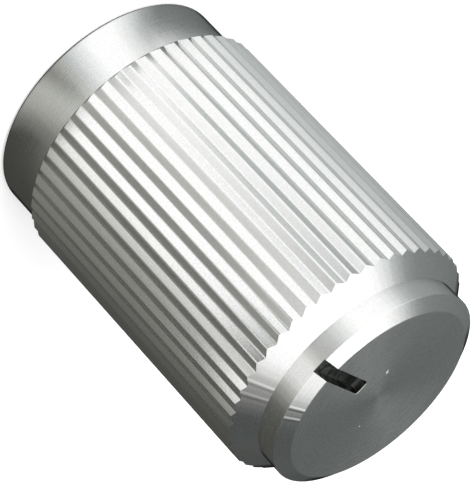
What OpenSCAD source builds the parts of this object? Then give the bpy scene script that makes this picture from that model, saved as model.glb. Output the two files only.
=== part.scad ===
// Solid turned aluminium control knob for a round potentiometer shaft.
// A plain collar carries the set screw, a straight-knurled grip runs out in a turned
// chamfer, and a chamfered nose has a milled, black-enamelled indicator slot.
// The seating face lies on z = 0 and the shaft bore opens downwards.

/* [Turned body] */
// Height from the seating face to the indicator face
overall_height = 25; // [20:0.5:40]
// Diameter over the crests of the knurl
grip_diameter = 16; // [14:0.1:30]
// Height of the plain collar at the seating end
collar_height = 3.5; // [3.3:0.1:7]
// Radial step from the knurl crests down to the collar
collar_step = 0.5; // [0.3:0.05:1]
// Height of the nose above the knurled grip's chamfer
nose_height = 1.8; // [1.2:0.1:4]
// Width of the turned chamfer that ends the knurl
shoulder_width = 1.2; // [0.6:0.1:2]
// Rise of the turned chamfer that ends the knurl
shoulder_rise = 1.1; // [0.6:0.1:2]
// Radial width of the chamfer round the indicator face
face_chamfer_width = 0.8; // [0.2:0.05:1.2]
// Rise of the chamfer round the indicator face
face_chamfer_rise = 0.5; // [0.2:0.05:1]
// Edge break at the foot of the collar
foot_chamfer = 0.2; // [0.1:0.05:0.4]

/* [Knurl] */
// Number of flutes round the grip
flute_count = 50; // [24:1:60]
// Radial depth of a flute
flute_depth = 0.18; // [0.1:0.01:0.28]
// Width of the turned land left on each crest
crest_land = 0.06; // [0.05:0.01:0.2]
// Width of the flat at the bottom of each flute
root_land = 0.05; // [0.04:0.01:0.2]
// Edge break on the knurl above the collar
knurl_chamfer = 0.15; // [0.05:0.05:0.25]
// Turn of the knurl from the indicator, in degrees, as the bar happened to be chucked
knurl_turn = -2; // [-3.6:0.1:3.6]

/* [Shaft bore] */
// Diameter of the potentiometer shaft
shaft_diameter = 6; // [4:0.1:8]
// Radial clearance between the shaft and the bore
shaft_clearance = 0.02; // [0.01:0.01:0.05]
// Depth of the bore's straight wall from the seating face
bore_depth = 15; // [8:0.5:16]
// Included angle of the drill point at the blind end
drill_point_angle = 118; // [90:1:140]
// Lead-in chamfer at the mouth of the bore
bore_lead_in = 0.4; // [0.2:0.05:0.8]

/* [Indicator] */
// Width of the milled indicator slot
slot_width = 0.9; // [0.5:0.05:1.5]
// Depth of the slot below the indicator face
slot_depth = 0.6; // [0.3:0.05:1]
// Distance from the knob's axis to the inner end of the slot
slot_inner_end = 2.2; // [0.5:0.1:4]
// Corner radius at the inner end of the slot
slot_corner = 0.15; // [0.05:0.05:0.24]
// Thickness of the enamel on the slot's floor and walls
enamel_thickness = 0.1; // [0.05:0.01:0.14]

/* [Set screw] */
// Nominal diameter of the set screw
screw_diameter = 2.5; // [2:0.1:3]
// Length of the set screw
screw_length = 4; // [3:0.5:5]
// Hexagon socket size across its flats
socket_across_flats = 1.3; // [0.7:0.1:1.3]
// Depth of the hexagon socket
socket_depth = 1.3; // [0.8:0.1:1.6]
// Diameter of the cup at the screw's tip
cup_diameter = 1.2; // [0.8:0.1:1.3]
// Depth of the cup at the screw's tip
cup_depth = 0.4; // [0.2:0.1:0.6]
// Edge break on both ends of the screw
screw_chamfer = 0.25; // [0.1:0.05:0.35]
// Radial clearance between the screw and its tapped hole
thread_clearance = 0.03; // [0.02:0.01:0.05]
// Gap left between the screw's tip and the bore
tip_gap = 0.15; // [0.1:0.05:0.4]
// Width of the countersink at the mouth of the tapped hole
hole_countersink = 0.2; // [0.1:0.05:0.25]

/* [Hidden] */

// Small overrun that carries a cutter clear of the face it leaves
overrun = 1;

grip_radius = grip_diameter / 2;
collar_radius = grip_radius - collar_step;
nose_radius = grip_radius - shoulder_width;
face_radius = nose_radius - face_chamfer_width;

nose_base = overall_height - nose_height;
crest_end = nose_base - shoulder_rise;
nose_edge = overall_height - face_chamfer_rise;

bore_radius = shaft_diameter / 2 + shaft_clearance;
drill_point_height = bore_radius / tan(drill_point_angle / 2);

flute_pitch = 2 * PI * grip_radius / flute_count;
flute_mouth = flute_pitch - crest_land;
flank_run = (flute_mouth - root_land) / 2;

slot_floor = overall_height - slot_depth;

screw_radius = screw_diameter / 2;
screw_axis_height = collar_height / 2;
screw_tip = bore_radius + tip_gap;
tapped_radius = screw_radius + thread_clearance;

round_fn = 180;
small_fn = 48;

// Turned outline of the knob with nothing milled or knurled into it
module turned_blank() {
    rotate_extrude($fn = round_fn)
        polygon([
            [0, 0],
            [collar_radius - foot_chamfer, 0],
            [collar_radius, foot_chamfer],
            [collar_radius, collar_height],
            [grip_radius - knurl_chamfer, collar_height],
            [grip_radius, collar_height + knurl_chamfer],
            [grip_radius, crest_end],
            [nose_radius, nose_base],
            [nose_radius, nose_edge],
            [face_radius, overall_height],
            [0, overall_height]
        ]);
}

// Section of one straight flute: a V with a narrow flat root, open past the crests
module flute_section() {
    flank_slope = flank_run / flute_depth;
    mouth = flute_mouth / 2 + flank_slope * overrun;
    polygon([
        [grip_radius - flute_depth, -root_land / 2],
        [grip_radius + overrun, -mouth],
        [grip_radius + overrun, mouth],
        [grip_radius - flute_depth, root_land / 2]
    ]);
}

// Bar stock with the knurl rolled along its whole length
module knurled_bar() {
    linear_extrude(height = overall_height)
        difference() {
            circle(r = grip_radius, $fn = round_fn);
            for (i = [0 : flute_count - 1])
                rotate((i + 0.5) * 360 / flute_count + knurl_turn)
                    flute_section();
        }
}

// Blind shaft bore with its drill point and lead-in
module shaft_bore() {
    rotate_extrude($fn = round_fn)
        polygon([
            [0, -overrun],
            [bore_radius + bore_lead_in + overrun, -overrun],
            [bore_radius, bore_lead_in],
            [bore_radius, bore_depth],
            [0, bore_depth + drill_point_height]
        ]);
}

// Tapped hole through the collar wall, opposite the indicator
module tapped_hole() {
    translate([0, 0, screw_axis_height])
        rotate([-90, 0, 0])
            rotate_extrude($fn = small_fn)
                polygon([
                    [0, 0],
                    [tapped_radius, 0],
                    [tapped_radius, collar_radius - hole_countersink],
                    [tapped_radius + hole_countersink, collar_radius],
                    [tapped_radius + hole_countersink, collar_radius + overrun],
                    [0, collar_radius + overrun]
                ]);
}

// Plan of the indicator slot: square inner end with rounded corners, open at the rim
module slot_plan(inset) {
    half = slot_width / 2 - inset;
    inner = slot_inner_end + inset;
    corner = slot_corner - inset / 2;
    far = grip_radius + overrun;
    union() {
        translate([-half, -far])
            square([2 * half, far - inner - corner]);
        translate([-half + corner, -far])
            square([2 * (half - corner), far - inner]);
        for (side = [-1, 1])
            translate([side * (half - corner), -inner - corner])
                circle(r = corner, $fn = small_fn);
    }
}

module slot_cutter() {
    translate([0, 0, slot_floor])
        linear_extrude(height = slot_depth + overrun)
            slot_plan(0);
}

module knob_body() {
    color([0.80, 0.81, 0.82])
        difference() {
            intersection() {
                knurled_bar();
                turned_blank();
            }
            shaft_bore();
            tapped_hole();
            slot_cutter();
        }
}

// Enamel that lines the floor and the walls of the slot, flush with the nose
module indicator_enamel() {
    color([0.05, 0.05, 0.05])
        difference() {
            intersection() {
                turned_blank();
                translate([0, 0, slot_floor])
                    linear_extrude(height = slot_depth + overrun)
                        slot_plan(0);
            }
            translate([0, 0, slot_floor + enamel_thickness])
                linear_extrude(height = slot_depth + overrun)
                    slot_plan(enamel_thickness);
        }
}

// Hexagon-socket set screw with a cup point, its thread left plain
module set_screw() {
    color([0.22, 0.22, 0.23])
        translate([0, screw_tip, screw_axis_height])
            rotate([-90, 0, 0])
                difference() {
                    rotate_extrude($fn = small_fn)
                        polygon([
                            [0, cup_depth],
                            [cup_diameter / 2, 0],
                            [screw_radius - screw_chamfer, 0],
                            [screw_radius, screw_chamfer],
                            [screw_radius, screw_length - screw_chamfer],
                            [screw_radius - screw_chamfer, screw_length],
                            [0, screw_length]
                        ]);
                    translate([0, 0, screw_length - socket_depth])
                        linear_extrude(height = socket_depth + overrun)
                            circle(d = socket_across_flats / cos(30), $fn = 6);
                }
}

knob_body();
indicator_enamel();
set_screw();
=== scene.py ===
import math

import bmesh
import bpy
from mathutils import Matrix, Vector


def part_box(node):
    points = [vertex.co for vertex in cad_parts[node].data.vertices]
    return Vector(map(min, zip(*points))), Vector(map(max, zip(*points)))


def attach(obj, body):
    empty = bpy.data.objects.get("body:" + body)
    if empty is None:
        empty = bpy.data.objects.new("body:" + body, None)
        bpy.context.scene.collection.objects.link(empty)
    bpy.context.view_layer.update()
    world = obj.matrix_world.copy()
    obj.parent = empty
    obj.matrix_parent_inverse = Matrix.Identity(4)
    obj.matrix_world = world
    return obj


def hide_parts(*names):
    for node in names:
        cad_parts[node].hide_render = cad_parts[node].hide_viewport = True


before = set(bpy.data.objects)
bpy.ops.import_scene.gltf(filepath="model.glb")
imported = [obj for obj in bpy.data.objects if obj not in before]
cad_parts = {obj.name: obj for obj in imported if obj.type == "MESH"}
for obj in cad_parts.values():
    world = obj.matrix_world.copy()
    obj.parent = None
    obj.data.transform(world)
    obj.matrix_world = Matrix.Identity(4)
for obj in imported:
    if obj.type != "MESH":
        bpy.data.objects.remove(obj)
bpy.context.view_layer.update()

# ---------------------------------------------------------------------------
# Sizes, in millimetres. Pieces are made in millimetres and brought to metres
# when they are finished. +Z runs from the seating face to the indicator face,
# the indicator is towards -Y and the set screw towards +Y.
# ---------------------------------------------------------------------------
MM = 0.001

low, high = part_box("knob_body")
HEIGHT = (high[2] - low[2]) / MM
GRIP_R = (high[0] - low[0]) / MM / 2

# Turned body
COLLAR_STEP = 0.5
COLLAR_H = 3.5
NOSE_H = 1.8
SHOULDER_W = 1.2
SHOULDER_RISE = 1.1
FACE_CHAMFER_W = 0.8
FACE_CHAMFER_RISE = 0.5
FOOT_CHAMFER = 0.2
FACE_ROUNDING = 0.05
NOSE_ROUNDING = 0.02
COLLAR_ROUNDING = 0.06

# Knurl, a little rounder at its crests and roots than the rolled profile, from wear
FLUTES = 50
FLUTE_DEPTH = 0.178
CREST_LAND = 0.08
ROOT_LAND = 0.07
LAND_EASING = 0.025
LAND_SAG = 0.004
KNURL_CHAMFER = 0.2
KNURL_TURN = -2.0

# Shaft bore, with a drill point of 118 degrees
BORE_R = 3.02
BORE_DEPTH = 15.0
BORE_LEAD_IN = 0.4
DRILL_POINT = BORE_R / math.tan(math.radians(118 / 2))

# Indicator slot and its enamel
SLOT_W = 0.9
SLOT_DEPTH = 0.6
SLOT_INNER_END = 2.2
SLOT_CORNER = 0.2
SLOT_EDGE_BREAK = 0.02
ENAMEL = 0.1
ENAMEL_CLEARANCE = 0.004
ENAMEL_BELOW_EDGE = 0.012
ENAMEL_SHORT_OF_RIM = 0.07

# Set screw M2.5 and its tapped hole
SCREW_R = 1.25
SCREW_LENGTH = 4.0
SCREW_CHAMFER = 0.25
SOCKET_AF = 1.3
SOCKET_DEPTH = 1.3
CUP_R = 0.6
CUP_DEPTH = 0.4
THREAD_PITCH = 0.45
THREAD_DEPTH = 0.25
THREAD_GAP = 0.03
TIP_Y = BORE_R + 0.15
SCREW_Z = COLLAR_H / 2
COUNTERSINK = 0.2

COLLAR_R = GRIP_R - COLLAR_STEP
NOSE_R = GRIP_R - SHOULDER_W
FACE_R = NOSE_R - FACE_CHAMFER_W
NOSE_BASE = HEIGHT - NOSE_H
CREST_END = NOSE_BASE - SHOULDER_RISE
NOSE_EDGE = HEIGHT - FACE_CHAMFER_RISE
SLOT_FLOOR = HEIGHT - SLOT_DEPTH
HEAD_Y = TIP_Y + SCREW_LENGTH

# Knocks on the indicator face: place, half length and half width, and turn in degrees
NICKS = [(-1.5, -1.33, 0.26, 0.13, 35), (2.1, 0.9, 0.06, 0.05, 10)]

# Two faint ridges that chuck jaws left across both front chamfers: the middle between them and the
# angle between them in degrees, turning from +X, their height, and their half width in radians
RIDGES_AT = -62.0
RIDGES_APART = 6.6
RIDGE_HEIGHT = 0.012
RIDGE_HALF_WIDTH = 0.03


# ---------------------------------------------------------------------------
# Workshop helpers
# ---------------------------------------------------------------------------
def linear(hex_colour):
    """An sRGB hex colour as linear RGBA."""
    parts = [int(hex_colour[i:i + 2], 16) / 255 for i in (1, 3, 5)]
    return tuple(c / 12.92 if c <= 0.04045 else ((c + 0.055) / 1.055) ** 2.4
                 for c in parts) + (1.0,)


def add(tree, kind, feeds=None, **settings):
    """Adds a node, sets it up, and feeds each input a value, a socket or a node's first socket."""
    made = tree.nodes.new(kind)
    for name, value in settings.items():
        setattr(made, name, value)
    for key, value in (feeds or {}).items():
        if isinstance(value, bpy.types.Node):
            value = value.outputs[0]
        if isinstance(value, bpy.types.NodeSocket):
            tree.links.new(value, made.inputs[key])
        else:
            made.inputs[key].default_value = value
    return made


def piece_from(mesh, name):
    """Puts a mesh in the scene as an object."""
    made = bpy.data.objects.new(name, mesh)
    bpy.context.scene.collection.objects.link(made)
    return made


def mesh_from(bm, name):
    """Writes a worked mesh out under a name and lets the working copy go."""
    mesh = bpy.data.meshes.new(name)
    bm.to_mesh(mesh)
    bm.free()
    return mesh


def settle(obj):
    """Bakes an object's modifiers into a plain mesh and drops them."""
    graph = bpy.context.evaluated_depsgraph_get()
    graph.update()
    baked = bpy.data.meshes.new_from_object(obj.evaluated_get(graph))
    obj.modifiers.clear()
    old = obj.data
    obj.data = baked
    bpy.data.meshes.remove(old)


def cut(obj, cutter):
    """Takes a cutter's shape out of an object; the fresh faces are of the object's own metal."""
    cutter.data.materials.clear()
    cutter.data.materials.append(obj.data.materials[0])
    work = obj.modifiers.new("cut", "BOOLEAN")
    work.operation = "DIFFERENCE"
    work.solver = "EXACT"
    work.object = cutter
    settle(obj)
    bpy.data.objects.remove(cutter)


def finish_piece(obj, name, node, sharp_deg=30.0):
    """Brings a piece from millimetres to metres, sets its edges, hangs it under the root body and
    hides the CAD part that it replaces.
    """
    mesh = obj.data
    bm = bmesh.new()
    bm.from_mesh(mesh)
    # Slivers that the cuts leave are closed up
    bmesh.ops.dissolve_degenerate(bm, edges=bm.edges, dist=0.0005)
    bm.to_mesh(mesh)
    bm.free()
    mesh.polygons.foreach_set("use_smooth", [True] * len(mesh.polygons))
    mesh.set_sharp_from_angle(angle=math.radians(sharp_deg))
    # Broad faces keep their own direction, so only the small edge faces look rounded
    shading = obj.modifiers.new("broad_faces_flat", "WEIGHTED_NORMAL")
    shading.keep_sharp = True
    shading.weight = 80
    settle(obj)
    mesh = obj.data
    mesh.transform(Matrix.Scale(MM, 4))
    obj.name = name
    mesh.name = name
    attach(obj, "root")
    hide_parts(node)


def skinned(rings, name):
    """A closed solid skinned over rings of points. A ring of one point closes an end."""
    bm = bmesh.new()
    lines = [[bm.verts.new(point) for point in ring] for ring in rings]
    sides = max(len(line) for line in lines)
    for one, two in zip(lines, lines[1:]):
        for k in range(sides):
            n = (k + 1) % sides
            corners = (one[k % len(one)], one[n % len(one)], two[n % len(two)], two[k % len(two)])
            bm.faces.new(list(dict.fromkeys(corners)))
    for end in (lines[0], lines[-1]):
        if len(end) > 2:
            bm.faces.new(end)
    bmesh.ops.recalc_face_normals(bm, faces=bm.faces)
    return piece_from(mesh_from(bm, name), name)


# ---------------------------------------------------------------------------
# Materials
# ---------------------------------------------------------------------------
def material(name):
    """An empty material, with its node tree."""
    made = bpy.data.materials.new(name)
    made.use_nodes = True
    tree = made.node_tree
    tree.nodes.clear()
    return made, tree


def bare_metal(tree, place, film_scale, grain_scale, darkest_grain):
    """What all bare aluminium here shares: a handling film a few millimetres across, torn grain
    of about 0.1 mm, drawn that coarse so that it shows, and the colour that they make."""
    film = add(tree, "ShaderNodeTexNoise", {"Vector": place, "Scale": film_scale, "Detail": 5.0,
                                            "Roughness": 0.6})
    grain = add(tree, "ShaderNodeTexNoise", {"Vector": place, "Scale": grain_scale, "Detail": 2.0,
                                             "Roughness": 0.7})
    tint = add(tree, "ShaderNodeMixRGB", {"Fac": film, "Color1": linear("#F0F1F1"),
                                          "Color2": linear("#F8F8F6")})
    speck = add(tree, "ShaderNodeMapRange", {"Value": grain, "From Min": 0.3, "From Max": 0.7,
                                             "To Min": darkest_grain, "To Max": 1.04})
    tint = add(tree, "ShaderNodeVectorMath", {"Vector": tint, "Scale": speck}, operation="SCALE")
    return film, grain, tint


def jaw_ridges(tree, part):
    """Height of the two ridges on the front chamfers, from 0 to 1, and 0 everywhere else."""
    azimuth = add(tree, "ShaderNodeMath", {0: part["Y"], 1: part["X"]}, operation="ARCTAN2")
    # How far a place is from the middle between the ridges, and then from the nearer ridge
    off = azimuth
    for angle in (math.radians(RIDGES_AT), math.radians(RIDGES_APART / 2)):
        off = add(tree, "ShaderNodeMath", {0: off, 1: angle}, operation="SUBTRACT")
        off = add(tree, "ShaderNodeMath", {0: off}, operation="ABSOLUTE")
    ridge = add(tree, "ShaderNodeMapRange", {"Value": off, "From Max": RIDGE_HALF_WIDTH,
                                             "To Min": 1.0, "To Max": 0.0},
                interpolation_type="SMOOTHSTEP")
    # The chamfers face outwards and up, the face straight up and the walls not up at all
    normal = add(tree, "ShaderNodeNewGeometry").outputs["Normal"]
    upward = add(tree, "ShaderNodeSeparateXYZ", {"Vector": normal}).outputs["Z"]
    on_slope = add(tree, "ShaderNodeMath", {0: upward, 1: 0.72, 2: 0.25}, operation="COMPARE")
    return add(tree, "ShaderNodeMath", {0: ridge, 1: on_slope}, operation="MULTIPLY")


def turned_aluminium(name, anisotropy, lay_depth):
    """Bare aluminium bar, turned on a lathe. The tool leaves a fine circular lay, so highlights
    run along the axis on the sides and radially across the face. The very rim of every curve,
    where it is seen edge-on, is darkened with painted shade, a dark outline painted by the facing
    angle."""
    made, tree = material(name)
    place = add(tree, "ShaderNodeTexCoord").outputs["Object"]
    part = add(tree, "ShaderNodeSeparateXYZ", {"Vector": place}).outputs
    square_x = add(tree, "ShaderNodeMath", {0: part["X"], 1: part["X"]}, operation="MULTIPLY")
    square_y = add(tree, "ShaderNodeMath", {0: part["Y"], 1: part["Y"]}, operation="MULTIPLY")
    square = add(tree, "ShaderNodeMath", {0: square_x, 1: square_y}, operation="ADD")
    radius = add(tree, "ShaderNodeMath", {0: square}, operation="SQRT")
    # Height minus radius grows steadily along every turned surface of the profile
    travel = add(tree, "ShaderNodeMath", {0: part["Z"], 1: radius}, operation="SUBTRACT")
    # Tool feed of 0.1 mm a turn, drawn at about 0.16 mm so that it shows
    lay = add(tree, "ShaderNodeTexNoise", {"W": travel, "Scale": 6200.0, "Detail": 3.0,
                                           "Roughness": 0.62}, noise_dimensions="1D")
    # Slow bands from chatter and tool wear, a millimetre or so wide
    bands = add(tree, "ShaderNodeTexNoise", {"W": travel, "Scale": 900.0, "Detail": 2.0,
                                             "Roughness": 0.5}, noise_dimensions="1D")
    film, grain, tint = bare_metal(tree, place, film_scale=260.0, grain_scale=8500.0,
                                   darkest_grain=0.93)
    # Painted shade: a dark outline painted where a surface is seen edge-on, in the colour and the
    # edge tint
    facing = add(tree, "ShaderNodeLayerWeight", {"Blend": 0.5}).outputs["Facing"]
    rim = add(tree, "ShaderNodeMapRange", {"Value": facing, "From Min": 0.82, "From Max": 0.93,
                                           "To Min": 0.0, "To Max": 1.0})
    tint_with_painted_rim = add(tree, "ShaderNodeMixRGB", {"Fac": rim, "Color1": tint,
                                                "Color2": linear("#3A3C3A")})
    edge_tint_with_painted_rim = add(tree, "ShaderNodeMixRGB", {"Fac": rim, "Color1": linear("#FFFFFF"),
                                               "Color2": linear("#1A1C1A")})
    rough = add(tree, "ShaderNodeMapRange", {"Value": lay, "From Min": 0.25, "From Max": 0.75,
                                             "To Min": 0.22, "To Max": 0.26})
    rough = add(tree, "ShaderNodeMath", {0: film, 1: 0.08, 2: rough}, operation="MULTIPLY_ADD")
    relief = add(tree, "ShaderNodeMath", {0: bands, 1: 0.6, 2: lay}, operation="MULTIPLY_ADD")
    relief = add(tree, "ShaderNodeMath", {0: grain, 1: 0.9, 2: relief}, operation="MULTIPLY_ADD")
    ridges, ridge_share = jaw_ridges(tree, part), RIDGE_HEIGHT * MM / lay_depth
    relief = add(tree, "ShaderNodeMath", {0: ridges, 1: ridge_share, 2: relief},
                 operation="MULTIPLY_ADD")
    bump = add(tree, "ShaderNodeBump", {"Strength": 1.0, "Distance": lay_depth, "Height": relief})
    ring = add(tree, "ShaderNodeTangent", direction_type="RADIAL", axis="Z")
    metal = add(tree, "ShaderNodeBsdfPrincipled",
                {"Base Color": tint_with_painted_rim, "Metallic": 1.0, "Roughness": rough,
                 "Specular Tint": edge_tint_with_painted_rim, "Anisotropic": anisotropy,
                 "Anisotropic Rotation": 0.25, "Normal": bump, "Tangent": ring})
    add(tree, "ShaderNodeOutputMaterial", {"Surface": metal})
    return made


def knurled_aluminium(name, smoothest, roughest):
    """The flanks of the knurl, burnished by the knurling wheel. Their lay runs along the
    flutes, so each flank takes one even tone with faint lengthwise streaks. The wheel drags
    on the side it leaves last, so that side is the rougher one."""
    made, tree = material(name)
    place = add(tree, "ShaderNodeTexCoord").outputs["Object"]
    # Wheel marks: 0.05 mm wide across a flank, drawn at 0.1 mm, and several millimetres long
    drawn_out = add(tree, "ShaderNodeMapping", {"Vector": place, "Scale": (1.0, 1.0, 0.03)})
    streak = add(tree, "ShaderNodeTexNoise", {"Vector": drawn_out, "Scale": 9000.0, "Detail": 3.0,
                                              "Roughness": 0.6})
    _, grain, tint = bare_metal(tree, place, film_scale=300.0, grain_scale=8000.0,
                                darkest_grain=0.92)
    rough = add(tree, "ShaderNodeMapRange", {"Value": streak, "From Min": 0.25, "From Max": 0.75,
                                             "To Min": smoothest, "To Max": roughest})
    relief = add(tree, "ShaderNodeMath", {0: grain, 1: 0.9, 2: streak}, operation="MULTIPLY_ADD")
    bump = add(tree, "ShaderNodeBump", {"Strength": 1.0, "Distance": 0.0018 * MM, "Height": relief})
    metal = add(tree, "ShaderNodeBsdfPrincipled", {"Base Color": tint, "Metallic": 1.0,
                                                   "Roughness": rough, "Normal": bump})
    add(tree, "ShaderNodeOutputMaterial", {"Surface": metal})
    return made


def torn_aluminium():
    """The lower ends of the flutes, the knurl's end chamfer over the collar: dull, and painted dark
    grey as painted shade for the shade line between grip and collar, mottled at about 0.1 mm."""
    made, tree = material("torn_aluminium")
    place = add(tree, "ShaderNodeTexCoord").outputs["Object"]
    grey_mottle = add(tree, "ShaderNodeTexNoise", {"Vector": place, "Scale": 9000.0, "Detail": 3.0})
    # Painted shade: dark greys that stand for the shade line between grip and collar
    tint = add(tree, "ShaderNodeMixRGB", {"Fac": grey_mottle, "Color1": linear("#686A68"),
                                          "Color2": linear("#929492")})
    bump = add(tree, "ShaderNodeBump", {"Strength": 1.0, "Distance": 0.008 * MM, "Height": grey_mottle})
    metal = add(tree, "ShaderNodeBsdfPrincipled", {"Base Color": tint, "Metallic": 1.0,
                                                   "Roughness": 0.5, "Normal": bump})
    add(tree, "ShaderNodeOutputMaterial", {"Surface": metal})
    return made


def slot_enamel():
    """Black stoving enamel brushed into the slot: glossy, slightly uneven, with a little dust and
    swarf, 0.4 mm across. Painted shade keeps it blackest at the inner end and greyer towards the
    open end."""
    made, tree = material("slot_enamel")
    place = add(tree, "ShaderNodeTexCoord").outputs["Object"]
    dust = add(tree, "ShaderNodeTexNoise", {"Vector": place, "Scale": 2600.0, "Detail": 4.0,
                                            "Roughness": 0.6})
    along = add(tree, "ShaderNodeSeparateXYZ", {"Vector": place}).outputs["Y"]
    # Painted shade: near black at the inner end, deep in the slot, and greyer towards the rim,
    # where the dust clumps show fully
    share = add(tree, "ShaderNodeMapRange", {"Value": along, "From Min": -3.4 * MM,
                                             "From Max": -6.2 * MM, "To Min": 0.15, "To Max": 1.0})
    clumps = add(tree, "ShaderNodeMapRange", {"Value": dust, "From Min": 0.42, "From Max": 0.66,
                                              "To Min": 0.1, "To Max": 1.0})
    dust_and_painted_shade = add(tree, "ShaderNodeMath", {0: share, 1: clumps}, operation="MULTIPLY")
    tint = add(tree, "ShaderNodeMixRGB", {"Fac": dust_and_painted_shade, "Color1": linear("#050505"),
                                          "Color2": linear("#4E534A")})
    rough = add(tree, "ShaderNodeMapRange", {"Value": dust, "From Min": 0.3, "From Max": 0.75,
                                             "To Min": 0.10, "To Max": 0.22})
    bump = add(tree, "ShaderNodeBump", {"Strength": 1.0, "Distance": 0.003 * MM, "Height": dust})
    enamel = add(tree, "ShaderNodeBsdfPrincipled",
                 {"Base Color": tint, "Roughness": rough, "IOR": 1.5, "Normal": bump})
    add(tree, "ShaderNodeOutputMaterial", {"Surface": enamel})
    return made


def black_oxide_steel():
    """Alloy steel with a black oxide finish: near black, a dull sheen, brown where it is thin.
    Its blotches are about half a millimetre across."""
    made, tree = material("screw_black_oxide")
    place = add(tree, "ShaderNodeTexCoord").outputs["Object"]
    grain = add(tree, "ShaderNodeTexNoise", {"Vector": place, "Scale": 1800.0, "Detail": 6.0,
                                             "Roughness": 0.65})
    tint = add(tree, "ShaderNodeMixRGB", {"Fac": grain, "Color1": linear("#2A2A2C"),
                                          "Color2": linear("#4A4540")})
    rough = add(tree, "ShaderNodeMapRange", {"Value": grain, "From Min": 0.3, "From Max": 0.7,
                                             "To Min": 0.32, "To Max": 0.52})
    bump = add(tree, "ShaderNodeBump", {"Strength": 1.0, "Distance": 0.004 * MM, "Height": grain})
    steel = add(tree, "ShaderNodeBsdfPrincipled", {"Base Color": tint, "Metallic": 1.0,
                                                   "Roughness": rough, "Normal": bump})
    add(tree, "ShaderNodeOutputMaterial", {"Surface": steel})
    return made


TURNED = turned_aluminium("lathe_turned_aluminium", anisotropy=0.75, lay_depth=0.0004 * MM)
FACED = turned_aluminium("faced_aluminium", anisotropy=0.55, lay_depth=0.0001 * MM)
LEADING = knurled_aluminium("knurl_leading_side", smoothest=0.14, roughest=0.22)
TRAILING = knurled_aluminium("knurl_trailing_side", smoothest=0.31, roughest=0.39)
KNURL_END_SHADE = torn_aluminium()
METALS = (TURNED, FACED, LEADING, TRAILING, KNURL_END_SHADE)
ENAMELLED = slot_enamel()
OXIDE = black_oxide_steel()


# ---------------------------------------------------------------------------
# Knob body: one pitch of the knurl with its share of the collar, shoulder, nose
# and bore, repeated round the axis
# ---------------------------------------------------------------------------
def flute_columns():
    """Angles across one pitch, crest to crest, with how deep the flute is at each."""
    half_pitch = math.pi * GRIP_R / FLUTES
    crest, root = CREST_LAND / 2, half_pitch - ROOT_LAND / 2
    on_flank = [(across, FLUTE_DEPTH * (across - crest) / (root - crest))
                for across in (crest + LAND_EASING, half_pitch / 2, root - LAND_EASING)]
    half = [(0.0, 0.0), (crest, LAND_SAG)] + on_flank
    half += [(root, FLUTE_DEPTH - LAND_SAG), (half_pitch, FLUTE_DEPTH)]
    columns = [(across / GRIP_R, depth) for across, depth in half]
    return columns + [(2 * columns[-1][0] - a, d) for a, d in columns[-2::-1]]


def rounded(corner_before, corner, corner_after, radius, steps=3):
    """Points that ease a turned profile's corner over a small radius."""
    a, b, c = Vector(corner_before), Vector(corner), Vector(corner_after)
    into = (a - b).normalized() * radius
    out = (c - b).normalized() * radius
    points = []
    for i in range(steps + 1):
        t = i / steps
        points.append(tuple(b + into * (1 - t) ** 2 + out * t ** 2))
    return points


def blank_profile():
    """The turned outline, from the indicator face down the outside, under the foot and up the
    bore. Each entry is (radius, height, kind), where kind says how the knurl meets it."""
    centre, face_edge = (0.0, HEIGHT), (FACE_R, HEIGHT)
    nose_edge, nose_base = (NOSE_R, NOSE_EDGE), (NOSE_R, NOSE_BASE)
    collar_top, collar_foot = (COLLAR_R, COLLAR_H), (COLLAR_R, FOOT_CHAMFER)
    foot_edge, bore_mouth = (COLLAR_R - FOOT_CHAMFER, 0.0), (BORE_R, 0.0)
    nose = rounded(centre, face_edge, nose_edge, FACE_ROUNDING)
    nose += rounded(face_edge, nose_edge, nose_base, NOSE_ROUNDING) + [nose_base]
    foot = [collar_top] + rounded(collar_top, collar_foot, foot_edge, COLLAR_ROUNDING)
    foot += rounded(collar_foot, foot_edge, bore_mouth, COLLAR_ROUNDING)
    foot += [(BORE_R + BORE_LEAD_IN, 0.0), (BORE_R, BORE_LEAD_IN), (BORE_R, BORE_DEPTH),
             (0.0, BORE_DEPTH + DRILL_POINT)]
    # A ring part way out keeps the triangles at the middle of the face short
    rows = [(0.0, HEIGHT, "face"), (2.0, HEIGHT, "face")] + [(r, z, "plain") for r, z in nose]
    rows += [(GRIP_R, CREST_END, "run_out"), (GRIP_R, COLLAR_H + KNURL_CHAMFER, "start"),
             (GRIP_R - KNURL_CHAMFER, COLLAR_H, "back")]
    return rows + [(r, z, "plain") for r, z in foot]


def pitch_strip():
    """One pitch of the whole knob as an open strip of quads."""
    columns = flute_columns()
    rows = blank_profile()
    bm = bmesh.new()
    grid = []
    for r, z, kind in rows:
        line = []
        for angle, depth in columns:
            radius, height = r, z
            if kind == "run_out":
                radius, height = GRIP_R - depth, CREST_END + depth * SHOULDER_RISE / SHOULDER_W
            elif kind == "start":
                radius = GRIP_R - depth
                height = COLLAR_H + max(KNURL_CHAMFER - depth, 0.0)
            elif kind == "back":
                radius = min(r, GRIP_R - depth)
            line.append(bm.verts.new((radius * math.cos(angle), radius * math.sin(angle), height)))
        grid.append(line)
    side = len(columns) // 2
    for j in range(len(rows) - 1):
        for i in range(len(columns) - 1):
            quad = bm.faces.new((grid[j][i], grid[j + 1][i], grid[j + 1][i + 1], grid[j][i + 1]))
            # The knurl's end chamfer takes the dark grey painted shade of the line between grip and
            # collar
            metal = {"face": FACED, "start": KNURL_END_SHADE}.get(rows[j][2], TURNED)
            if rows[j][2] == "run_out":
                metal = TRAILING if i < side else LEADING
            quad.material_index = METALS.index(metal)
    mesh = mesh_from(bm, "pitch_strip")
    for metal in METALS:
        mesh.materials.append(metal)
    for index, metal in enumerate(METALS):
        marked = mesh.attributes.new(metal.name, "BOOLEAN", "FACE")
        marked.data.foreach_set("value", [p.material_index == index for p in mesh.polygons])
    return mesh


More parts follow.
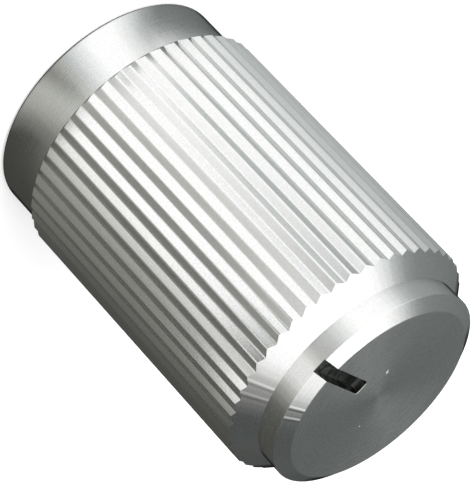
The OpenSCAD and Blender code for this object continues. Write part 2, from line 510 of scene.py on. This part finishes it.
def round_the_axis_tree():
    """Repeats a strip round the Z axis, sews the repeats together, and gives each face the metal
    that it is marked for."""
    tree = bpy.data.node_groups.new("round_the_axis", "GeometryNodeTree")
    face = tree.interface
    face.new_socket(name="Strip", in_out="INPUT", socket_type="NodeSocketGeometry")
    face.new_socket(name="Repeats", in_out="INPUT", socket_type="NodeSocketInt")
    face.new_socket(name="Turn", in_out="INPUT", socket_type="NodeSocketFloat")
    face.new_socket(name="Sewing distance", in_out="INPUT", socket_type="NodeSocketFloat")
    for metal in METALS:
        face.new_socket(name=metal.name, in_out="INPUT", socket_type="NodeSocketMaterial")
    face.new_socket(name="Knob", in_out="OUTPUT", socket_type="NodeSocketGeometry")
    given = add(tree, "NodeGroupInput").outputs
    count = add(tree, "GeometryNodePoints", {"Count": given["Repeats"]})
    step = add(tree, "ShaderNodeMath", {0: 2 * math.pi, 1: given["Repeats"]}, operation="DIVIDE")
    repeat = add(tree, "GeometryNodeInputIndex")
    angle = add(tree, "ShaderNodeMath", {0: repeat, 1: step, 2: given["Turn"]},
                operation="MULTIPLY_ADD")
    turn = add(tree, "ShaderNodeCombineXYZ", {"Z": angle})
    copies = add(tree, "GeometryNodeInstanceOnPoints",
                 {"Points": count, "Instance": given["Strip"], "Rotation": turn})
    real = add(tree, "GeometryNodeRealizeInstances", {"Geometry": copies})
    shape = add(tree, "GeometryNodeMergeByDistance",
                {"Geometry": real, "Distance": given["Sewing distance"]})
    for metal in METALS:
        marked = add(tree, "GeometryNodeInputNamedAttribute", {"Name": metal.name},
                     data_type="BOOLEAN")
        shape = add(tree, "GeometryNodeSetMaterial",
                    {"Geometry": shape, "Selection": marked.outputs["Attribute"],
                     "Material": given[metal.name]})
    add(tree, "NodeGroupOutput", {"Knob": shape})
    return tree


def set_inputs(modifier, **values):
    """Sets a Geometry Nodes modifier's inputs by the identifier behind each name."""
    for item in modifier.node_group.interface.items_tree:
        key = item.name.replace(" ", "_")
        if item.in_out == "INPUT" and key in values:
            modifier[item.identifier] = values[key]


def slot_outline(inset):
    """Plan of the indicator slot: square inner end with small corner radii, open at the rim."""
    half = SLOT_W / 2 - inset
    end = -(SLOT_INNER_END + inset)
    corner = SLOT_CORNER - inset
    points = [(-half, -GRIP_R - 1)]
    for side, start in ((-1, 180), (1, 90)):
        for k in range(7):
            a = math.radians(start - 15 * k)
            points.append((side * (half - corner) + corner * math.cos(a),
                           end - corner + corner * math.sin(a)))
    points.append((half, -GRIP_R - 1))
    return points[::-1]


def thread_tree():
    """A threaded rod along Y: a sheet of rows and columns rolled round the axis, with its radius
    following the thread's helix, flat closed ends, and a chamfer at each end."""
    tree = bpy.data.node_groups.new("threaded_rod", "GeometryNodeTree")
    face = tree.interface
    for name in ("Radius", "Depth", "Pitch", "Start", "Length", "Chamfer"):
        face.new_socket(name=name, in_out="INPUT", socket_type="NodeSocketFloat")
    for name in ("Columns", "Rows"):
        face.new_socket(name=name, in_out="INPUT", socket_type="NodeSocketInt")
    face.new_socket(name="Metal", in_out="INPUT", socket_type="NodeSocketMaterial")
    face.new_socket(name="Rod", in_out="OUTPUT", socket_type="NodeSocketGeometry")
    given = add(tree, "NodeGroupInput").outputs
    math_node = "ShaderNodeMath"
    columns = add(tree, math_node, {0: given["Columns"], 1: 1.0}, operation="ADD")
    sheet = add(tree, "GeometryNodeMeshGrid", {"Size X": 1.0, "Size Y": 1.0, "Vertices X": columns,
                                               "Vertices Y": given["Rows"]})
    position = add(tree, "GeometryNodeInputPosition")
    spot = add(tree, "ShaderNodeSeparateXYZ", {"Vector": position}).outputs
    round_part = add(tree, math_node, {0: spot["X"], 1: 0.5}, operation="ADD")
    along_part = add(tree, math_node, {0: spot["Y"], 1: 0.5}, operation="ADD")
    # The first and last rows close the ends, so the rows between them cover the length
    last_row = add(tree, math_node, {0: given["Rows"], 1: 1.0}, operation="SUBTRACT")
    row = add(tree, math_node, {0: along_part, 1: last_row}, operation="MULTIPLY")
    last_open = add(tree, math_node, {0: given["Rows"], 1: 2.0}, operation="SUBTRACT")
    share = add(tree, "ShaderNodeMapRange", {"Value": row, "From Min": 1.0, "From Max": last_open})
    along = add(tree, math_node, {0: share, 1: given["Length"]}, operation="MULTIPLY")
    place = add(tree, math_node, {0: along, 1: given["Start"]}, operation="ADD")
    turns = add(tree, math_node, {0: place, 1: given["Pitch"]}, operation="DIVIDE")
    turns = add(tree, math_node, {0: turns, 1: round_part}, operation="SUBTRACT")
    wave = add(tree, math_node, {0: turns, 1: 0.5}, operation="PINGPONG")
    # Flat crests and roots, each about an eighth of the pitch wide
    flank = add(tree, "ShaderNodeMapRange", {"Value": wave, "From Min": 0.06, "From Max": 0.44,
                                             "To Min": 1.0, "To Max": 0.0})
    sunk = add(tree, math_node, {0: flank, 1: given["Depth"]}, operation="MULTIPLY")
    threaded = add(tree, math_node, {0: given["Radius"], 1: sunk}, operation="SUBTRACT")
    other_end = add(tree, math_node, {0: given["Length"], 1: along}, operation="SUBTRACT")
    near_end = add(tree, math_node, {0: along, 1: other_end}, operation="MINIMUM")
    end_radius = add(tree, math_node, {0: given["Radius"], 1: given["Chamfer"]},
                     operation="SUBTRACT")
    limit = add(tree, math_node, {0: end_radius, 1: near_end}, operation="ADD")
    radius = add(tree, math_node, {0: threaded, 1: limit}, operation="MINIMUM")
    first = add(tree, math_node, {0: row, 1: 0.5}, operation="GREATER_THAN")
    before_last = add(tree, math_node, {0: last_row, 1: 0.5}, operation="SUBTRACT")
    last = add(tree, math_node, {0: row, 1: before_last}, operation="LESS_THAN")
    between_ends = add(tree, math_node, {0: first, 1: last}, operation="MULTIPLY")
    radius = add(tree, math_node, {0: radius, 1: between_ends}, operation="MULTIPLY")
    angle = add(tree, math_node, {0: round_part, 1: 2 * math.pi}, operation="MULTIPLY")
    sine = add(tree, math_node, {0: angle}, operation="SINE")
    cosine = add(tree, math_node, {0: angle}, operation="COSINE")
    across = add(tree, math_node, {0: radius, 1: sine}, operation="MULTIPLY")
    upward = add(tree, math_node, {0: radius, 1: cosine}, operation="MULTIPLY")
    spot_now = add(tree, "ShaderNodeCombineXYZ", {"X": across, "Y": place, "Z": upward})
    rolled = add(tree, "GeometryNodeSetPosition", {"Geometry": sheet, "Position": spot_now})
    sewn = add(tree, "GeometryNodeMergeByDistance", {"Geometry": rolled, "Distance": 0.00001})
    real = add(tree, "GeometryNodeRealizeInstances", {"Geometry": sewn})
    done = add(tree, "GeometryNodeSetMaterial", {"Geometry": real, "Material": given["Metal"]})
    add(tree, "NodeGroupOutput", {"Rod": done})
    return tree


def face_out(obj):
    """Turns every face outwards."""
    bm = bmesh.new()
    bm.from_mesh(obj.data)
    bmesh.ops.recalc_face_normals(bm, faces=bm.faces)
    bm.to_mesh(obj.data)
    bm.free()
    return obj


def threaded_rod(name, radius, start, length, chamfer, metal):
    """A threaded rod on the set screw's axis, of one metal."""
    obj = piece_from(bpy.data.meshes.new(name), name)
    work = obj.modifiers.new("thread", "NODES")
    work.node_group = THREAD
    rows_a_turn = 14
    set_inputs(work, Radius=radius, Depth=THREAD_DEPTH, Pitch=THREAD_PITCH, Start=start,
               Length=length, Chamfer=chamfer, Columns=48,
               Rows=int(length / THREAD_PITCH * rows_a_turn) + 3, Metal=metal)
    settle(obj)
    obj.data.materials.clear()
    obj.data.materials.append(metal)
    obj.data.polygons.foreach_set("material_index", [0] * len(obj.data.polygons))
    obj.data.transform(Matrix.Translation((0, 0, SCREW_Z)))
    return face_out(obj)


def turned_along_y(points, name, sides=64):
    """A solid turned about the screw's axis from (radius, y) points that start and end on it."""
    turns = [2 * math.pi * k / sides for k in range(sides)]
    rings = [[(r * math.sin(a), y, SCREW_Z + r * math.cos(a)) for a in (turns if r else [0.0])]
             for r, y in points]
    return skinned(rings, name)


THREAD = thread_tree()


def handling_nick(x, y, long, wide, turned):
    """The dent of one knock on the indicator face: an oval, as deep as it reaches below its centre
    less how high the centre stands."""
    reach, stands = 0.09, 0.04
    bm = bmesh.new()
    bmesh.ops.create_uvsphere(bm, u_segments=20, v_segments=12, radius=1.0)
    bm.transform(Matrix.Translation((x, y, HEIGHT + stands))
                 @ Matrix.Rotation(math.radians(turned), 4, "Z")
                 @ Matrix.Diagonal((long, wide, reach, 1.0)))
    return piece_from(mesh_from(bm, "nick"), "nick")


def slot_cutter():
    """The milled slot, flared at the indicator face where its burr was taken off."""
    flare = -1.5 * SLOT_EDGE_BREAK
    steps = ((SLOT_FLOOR, 0.0), (HEIGHT - SLOT_EDGE_BREAK, 0.0),
             (HEIGHT + SLOT_EDGE_BREAK, flare), (HEIGHT + 1.0, flare))
    rings = [[(x, y, z) for x, y in slot_outline(inset)] for z, inset in steps]
    return skinned(rings, "slot_cutter")


def knob_body():
    """The knurled blank with its slot, tapped hole and two knocks cut in."""
    obj = piece_from(pitch_strip(), "knob_blank")
    work = obj.modifiers.new("round_the_axis", "NODES")
    work.node_group = round_the_axis_tree()
    set_inputs(work, Repeats=FLUTES, Turn=math.radians(KNURL_TURN), Sewing_distance=0.0005,
               **{metal.name: metal for metal in METALS})
    settle(obj)
    cut(obj, slot_cutter())
    # The tap runs out a millimetre past the wall on both sides
    tap_r = SCREW_R + THREAD_GAP
    cut(obj, threaded_rod("tap", tap_r, BORE_R - 1.0, COLLAR_R - BORE_R + 2.0, 0.0, TURNED))
    # A countersink of 90 degrees
    mouth_r = tap_r + COUNTERSINK
    cut(obj, turned_along_y([(0, COLLAR_R - 1.0), (tap_r - 0.9, COLLAR_R - 0.99),
                             (mouth_r, COLLAR_R + 0.12), (mouth_r, COLLAR_R + 1.0),
                             (0, COLLAR_R + 1.0)], "countersink"))
    for nick in NICKS:
        cut(obj, handling_nick(*nick))
    # The facets of the flutes' lands and roundings stay sharp, so that they don't shade each other
    finish_piece(obj, "turned_knob", "knob_body", sharp_deg=8.0)


# ---------------------------------------------------------------------------
# Enamel in the slot: a thin coat that climbs the walls and pools in the corners
# ---------------------------------------------------------------------------
def nose_surface(r):
    """Height of the nose's outside at a radius."""
    if r <= FACE_R:
        return HEIGHT
    return HEIGHT - (r - FACE_R) * FACE_CHAMFER_RISE / FACE_CHAMFER_W


def enamel_height(x, y, r, wall, down):
    """Height of the coat's surface, a distance in from the nearest wall and down from the slot's
    inner end: a wavy pool, thinner at the inner end, that climbs the walls."""
    # Brush waves of about 0.01 mm, each half a millimetre to a millimetre long
    wave = 0.006 * math.sin(7.1 * y + 1.3) + 0.005 * math.sin(11.7 * y + 5 * x)
    edge = nose_surface(r) - ENAMEL_BELOW_EDGE
    # Half the full thickness at the inner end, and nearly all of it from 2.5 mm on
    pool = SLOT_FLOOR + ENAMEL * (0.45 + 0.5 * min(down / 2.5, 1)) + wave
    # Steep over the last 0.05 mm before a wall, with a softer fillet three times as wide
    climb = (edge - pool) * math.exp(-(wall / 0.055) ** 1.1)
    fillet = 0.05 * math.exp(-(wall / 0.16) ** 2)
    return max(min(pool + climb + fillet, edge), SLOT_FLOOR + 0.02)


def enamel_coat():
    """The coat's top and underside as two grids of points, closed all round."""
    half, end = SLOT_W / 2 - ENAMEL_CLEARANCE, SLOT_INNER_END + ENAMEL_CLEARANCE
    rim_r = NOSE_R - ENAMEL_SHORT_OF_RIM
    # Shares of the half width, and distances from the inner end: both finer near the walls
    across = [-1.0, -0.97, -0.93, -0.88, -0.82, -0.74, -0.64, -0.5, -0.3, 0.0]
    across += [-a for a in across[-2::-1]]
    lengthwise = [0.0, 0.015, 0.035, 0.06, 0.09, 0.13, 0.18, 0.25, 0.34, 0.45, 0.6]
    near_end, steps = lengthwise[-1], 44
    lengthwise += [near_end + (rim_r - end - near_end) * (k + 1) / steps for k in range(steps)]
    bm = bmesh.new()
    tops, bottoms = [], []
    for down in lengthwise:
        width = half
        if down < SLOT_CORNER:
            width = half - SLOT_CORNER + math.sqrt(SLOT_CORNER ** 2 - (SLOT_CORNER - down) ** 2)
        top, bottom = [], []
        for u in across:
            # The last points are drawn in to the nose's round edge
            y = -(end + down)
            r = math.hypot(u * width, y)
            inward = min(rim_r / r, 1.0)
            x = u * width * inward
            wall = min(width - abs(x), down)
            top.append(bm.verts.new((x, y * inward, enamel_height(x, y, r * inward, wall, down))))
            bottom.append(bm.verts.new((x, y * inward, SLOT_FLOOR + ENAMEL_CLEARANCE)))
        tops.append(top)
        bottoms.append(bottom)
    last = len(across) - 1
    for j in range(len(lengthwise) - 1):
        for i in range(last):
            bm.faces.new((tops[j][i], tops[j + 1][i], tops[j + 1][i + 1], tops[j][i + 1]))
            bm.faces.new((bottoms[j][i + 1], bottoms[j + 1][i + 1],
                          bottoms[j + 1][i], bottoms[j][i]))
        bm.faces.new((bottoms[j][0], bottoms[j + 1][0], tops[j + 1][0], tops[j][0]))
        bm.faces.new((tops[j][last], tops[j + 1][last], bottoms[j + 1][last], bottoms[j][last]))
    for j in (0, len(lengthwise) - 1):
        for i in range(last):
            bm.faces.new((tops[j][i], tops[j][i + 1], bottoms[j][i + 1], bottoms[j][i]))
    bmesh.ops.recalc_face_normals(bm, faces=bm.faces)
    mesh = mesh_from(bm, "enamel_coat")
    mesh.materials.append(ENAMELLED)
    obj = piece_from(mesh, "enamel_coat")
    finish_piece(obj, "slot_enamel_coat", "indicator_enamel", sharp_deg=60.0)


# ---------------------------------------------------------------------------
# Set screw: threaded rod with a hexagon socket outside and a cup point inside
# ---------------------------------------------------------------------------
def set_screw():
    """The screw, its socket towards the outside and its cup towards the bore."""
    obj = threaded_rod("grub_screw", SCREW_R, TIP_Y, SCREW_LENGTH, SCREW_CHAMFER, OXIDE)
    corner = SOCKET_AF / 2 / math.cos(math.radians(30))
    # The hexagon is broached over the drill's point, and its mouth is countersunk
    cut(obj, turned_along_y([(0, HEAD_Y - SOCKET_DEPTH - 0.3), (corner, HEAD_Y - SOCKET_DEPTH),
                             (corner, HEAD_Y + 1)], "hexagon_broach", sides=6))
    cut(obj, turned_along_y([(0, HEAD_Y - 0.25), (SOCKET_AF / 2 - 0.1, HEAD_Y - 0.24),
                             (SOCKET_AF / 2 + 0.16, HEAD_Y + 0.02), (0, HEAD_Y + 0.02)],
                            "socket_lead"))
    cut(obj, turned_along_y([(0, TIP_Y - 0.5), (CUP_R, TIP_Y - 0.4), (CUP_R, TIP_Y),
                             (0, TIP_Y + CUP_DEPTH)], "cup"))
    finish_piece(obj, "grub_screw", "set_screw")


knob_body()
enamel_coat()
set_screw()


# ---------------------------------------------------------------------------
# Studio
# ---------------------------------------------------------------------------
def seen_directly(tree):
    """1 for the camera and for what metal or glass shows, 0 for the light that a surface gives."""
    path = add(tree, "ShaderNodeLightPath").outputs
    seen = add(tree, "ShaderNodeMath", {0: path["Is Camera Ray"], 1: path["Is Glossy Ray"]},
               operation="MAXIMUM")
    return add(tree, "ShaderNodeMath", {0: seen, 1: path["Is Transmission Ray"]},
               operation="MAXIMUM")


def studio_floor():
    """A pale floor, lifted to white where it is seen directly."""
    mesh = bpy.data.meshes.new("floor")
    reach, lift_when_seen = 1.5, 0.45
    corners = [(-reach, -reach, 0), (reach, -reach, 0), (reach, reach, 0), (-reach, reach, 0)]
    mesh.from_pydata(corners, [], [(0, 1, 2, 3)])
    made, tree = material("studio_white")
    paint = add(tree, "ShaderNodeBsdfDiffuse", {"Color": linear("#F4F4F4")})
    lift = add(tree, "ShaderNodeMath", {0: seen_directly(tree), 1: lift_when_seen},
               operation="MULTIPLY")
    glow = add(tree, "ShaderNodeEmission", {"Color": linear("#FFFFFF"), "Strength": lift})
    both = add(tree, "ShaderNodeAddShader", {0: paint, 1: glow})
    add(tree, "ShaderNodeOutputMaterial", {"Surface": both})
    mesh.materials.append(made)
    piece_from(mesh, "studio_floor")


def studio_world():
    world = bpy.data.worlds.new("studio")
    bpy.context.scene.world = world
    world.use_nodes = True
    tree = world.node_tree
    tree.nodes.clear()
    # It looks white, and lights the floor and the pieces at half that strength
    air = add(tree, "ShaderNodeBackground", {"Color": linear("#FFFFFF"), "Strength": 0.5})
    backdrop = add(tree, "ShaderNodeBackground", {"Color": linear("#FFFFFF"), "Strength": 1.0})
    both = add(tree, "ShaderNodeMixShader", {0: seen_directly(tree), 1: air, 2: backdrop})
    add(tree, "ShaderNodeOutputWorld", {"Surface": both})


# The camera stands this way from the knob: bearing, height and roll in degrees, distance in
# metres, lens in millimetres. The card and the lamp are placed from the same bearing.
VIEW_BEARING = -10.2
VIEW_HEIGHT = 27.9
VIEW_ROLL = -137.05
VIEW_DISTANCE = 0.1764
VIEW_LENS = 234.6
VIEW_TARGET = Vector((0.00001, -0.00013, 0.01227))


def bearing_vector(bearing, height):
    """Unit vector towards a bearing from -Y, turning towards +X, and a height above level."""
    b, h = math.radians(bearing), math.radians(height)
    return Vector((math.sin(b) * math.cos(h), -math.cos(b) * math.cos(h), math.sin(h)))


def studio_camera():
    data = bpy.data.cameras.new("camera")
    data.lens = VIEW_LENS
    data.sensor_width = 36.0
    data.clip_start = 0.01
    data.clip_end = 20.0
    camera = bpy.data.objects.new("camera", data)
    bpy.context.scene.collection.objects.link(camera)
    back = bearing_vector(VIEW_BEARING, VIEW_HEIGHT)
    right = Vector((0, 0, 1)).cross(back).normalized()
    up = back.cross(right)
    roll = math.radians(VIEW_ROLL)
    up_rolled = up * math.cos(roll) + right * math.sin(roll)
    right_rolled = right * math.cos(roll) - up * math.sin(roll)
    turn = Matrix((right_rolled, up_rolled, back)).transposed().to_4x4()
    camera.matrix_world = Matrix.Translation(VIEW_TARGET + back * VIEW_DISTANCE) @ turn
    bpy.context.scene.camera = camera


def softbox(name, bearing, height, distance, size, power):
    """A square lamp that faces the knob."""
    data = bpy.data.lights.new(name, "AREA")
    data.shape = "SQUARE"
    data.size = size
    data.energy = power
    lamp = bpy.data.objects.new(name, data)
    bpy.context.scene.collection.objects.link(lamp)
    direction = bearing_vector(bearing, height)
    lamp.location = Vector((0, 0, CARD_EYE)) + direction * distance
    lamp.rotation_euler = direction.to_track_quat("Z", "Y").to_euler()


def between(stops, at):
    """Reads a value off a list of (place, value) stops."""
    for (a0, v0), (a1, v1) in zip(stops, stops[1:]):
        if a0 <= at <= a1:
            return v0 + (v1 - v0) * (at - a0) / (a1 - a0)
    return stops[-1][1]


# The reflection card, in metres, and in degrees of bearing from the camera and of height above
# level, seen from the middle of the knob
CARD_EYE = 0.012
UPRIGHT_ABOVE = 9
FAR_OUT_BEYOND = 0.048
OLIVE, BLUE_GREY, WARM_GREY = (0.98, 1.0, 0.89), (0.91, 1.0, 0.975), (1.0, 0.98, 0.93)

# How light the card is at each bearing. The parts of it near the foot, half way out, far out and
# upright are what the collar, the grip, the nose and the face reflect.
NEAR_FOOT = [(-180, 0.03), (-105, 0.06), (-85, 0.13), (-54, 0.19), (-45, 0.36), (-36, 0.74),
             (-27, 1.0), (-14, 1.0), (-6, 0.72), (0, 0.48), (9, 0.20), (18, 0.40), (27, 0.34),
             (36, 0.16), (45, 0.05), (180, 0.04)]
HALF_WAY = [(-180, 0.04), (-152, 0.05), (-142, 0.22), (-132, 0.40), (-100, 0.42), (-84, 0.44),
            (-74, 0.54), (-66, 0.72), (-56, 0.94), (-48, 1.0), (5, 1.0), (13, 0.86), (21, 0.60),
            (32, 0.32), (42, 0.215), (54, 0.19), (66, 0.145), (80, 0.10), (95, 0.07), (180, 0.06)]
FAR_OUT = [(-180, 0.12), (-130, 0.20), (-91, 0.28), (-80, 0.45), (-68, 0.85), (-58, 1.0),
           (-26, 1.0), (-14, 0.56), (0, 0.13), (12, 0.06), (18, 0.42), (26, 0.98), (43, 1.0),
           (53, 0.50), (64, 0.20), (75, 0.07), (180, 0.06)]
UPRIGHT = [(-180, 0.12), (-130, 0.20), (-107, 0.22), (-98, 0.42), (-88, 0.92), (-80, 1.0),
           (60, 1.0), (70, 0.55), (78, 0.28), (98, 0.25), (104, 0.06), (180, 0.11)]

# How far out the part that the collar reflects runs at each bearing
COLLAR_SHARE = [(-180, 0.0116), (-52, 0.0116), (-40, 0.0138), (32, 0.0138), (42, 0.0124),
                (180, 0.0124)]

# Hardly any light reaches the floor right under the foot's edge
UNDER_FOOT = [(0.0, 0.06), (0.00745, 0.06), (0.0078, 1.0), (1.0, 1.0)]


def card_colour(bearing, radius, height):
    """Colour of the card at a bearing, a distance from the axis and a height above level."""
    if height > UPRIGHT_ABOVE:
        level = between(UPRIGHT, bearing)
        # Above its top edge, higher at the back, the card fades to white over 14 degrees
        top = (52 if bearing > 0 else 45) + 24 * (bearing / 180) ** 4
        level += (1 - level) * min(max((height - top) / 14, 0), 1)
    elif radius < between(COLLAR_SHARE, bearing):
        level = between(NEAR_FOOT, bearing) * between(UNDER_FOOT, radius)
    elif radius < FAR_OUT_BEYOND:
        level = between(HALF_WAY, bearing)
    else:
        level = between(FAR_OUT, bearing)
    # The shade is a little olive on one side of the knob, a little green-blue on the other and warm
    # in one upright strip. Full light stays white.
    tint = BLUE_GREY
    if height > UPRIGHT_ABOVE and 70 < bearing < 100:
        tint = WARM_GREY
    elif height < UPRIGHT_ABOVE and 0 < bearing < 150:
        tint = OLIVE
    return [level * (1 - (1 - t) * (1 - level)) for t in tint]


def reflection_card():
    """A curved card that only reflections see: it lies on the floor, stands round the knob and
    leans in over it, and leaves the middle open to the white studio above."""
    # Distance from the axis and height of each row, closer together where the shade changes
    rows = [(0.007, 0.00002), (0.00745, 0.00002), (0.0078, 0.00002), (0.0085, 0.00004)]
    rows += [(r, 0.0001) for r in (0.0105, 0.0113, 0.0119, 0.0127, 0.0135, 0.0141, 0.0155)]
    rows += [(0.018, 0.0002), (0.025, 0.0003), (0.036, 0.0003), (0.0465, 0.0004), (0.0495, 0.0005),
             (0.06, 0.0006), (0.09, 0.002), (0.112, 0.011), (0.118, 0.03), (0.118, 0.05),
             (0.115, 0.075), (0.108, 0.095), (0.098, 0.11), (0.088, 0.12), (0.078, 0.128),
             (0.066, 0.135), (0.052, 0.141), (0.036, 0.146)]
    count = 120
    bm = bmesh.new()
    shade = bm.verts.layers.float_color.new("shade")
    grid = []
    for r, z in rows:
        height = math.degrees(math.atan2(z - CARD_EYE, r))
        line = []
        for k in range(count):
            bearing = 360 * k / count - 180
            b = math.radians(bearing + VIEW_BEARING)
            vert = bm.verts.new((r * math.sin(b), -r * math.cos(b), z))
            vert[shade] = card_colour(bearing, r, height) + [1.0]
            line.append(vert)
        grid.append(line)
    for low_row, high_row in zip(grid, grid[1:]):
        for k in range(count):
            n = (k + 1) % count
            bm.faces.new((low_row[k], low_row[n], high_row[n], high_row[k]))
    mesh = mesh_from(bm, "reflection_card")
    made, tree = material("reflection_card")
    shaded = add(tree, "ShaderNodeAttribute", attribute_name="shade").outputs["Color"]
    # The card glows with its own light, so its painted shades become painted reflections in the
    # metal
    paint = add(tree, "ShaderNodeEmission", {"Color": shaded, "Strength": 1.12})
    add(tree, "ShaderNodeOutputMaterial", {"Surface": paint})
    mesh.materials.append(made)
    card = piece_from(mesh, "reflection_card")
    card.visible_camera = False
    card.visible_diffuse = False
    card.visible_shadow = False
    card.visible_transmission = False


studio_floor()
studio_world()
studio_camera()
reflection_card()
softbox("overhead_softbox", bearing=VIEW_BEARING - 25, height=62, distance=0.8, size=0.6,
        power=4.2)

bpy.context.scene.view_settings.view_transform = "Standard"
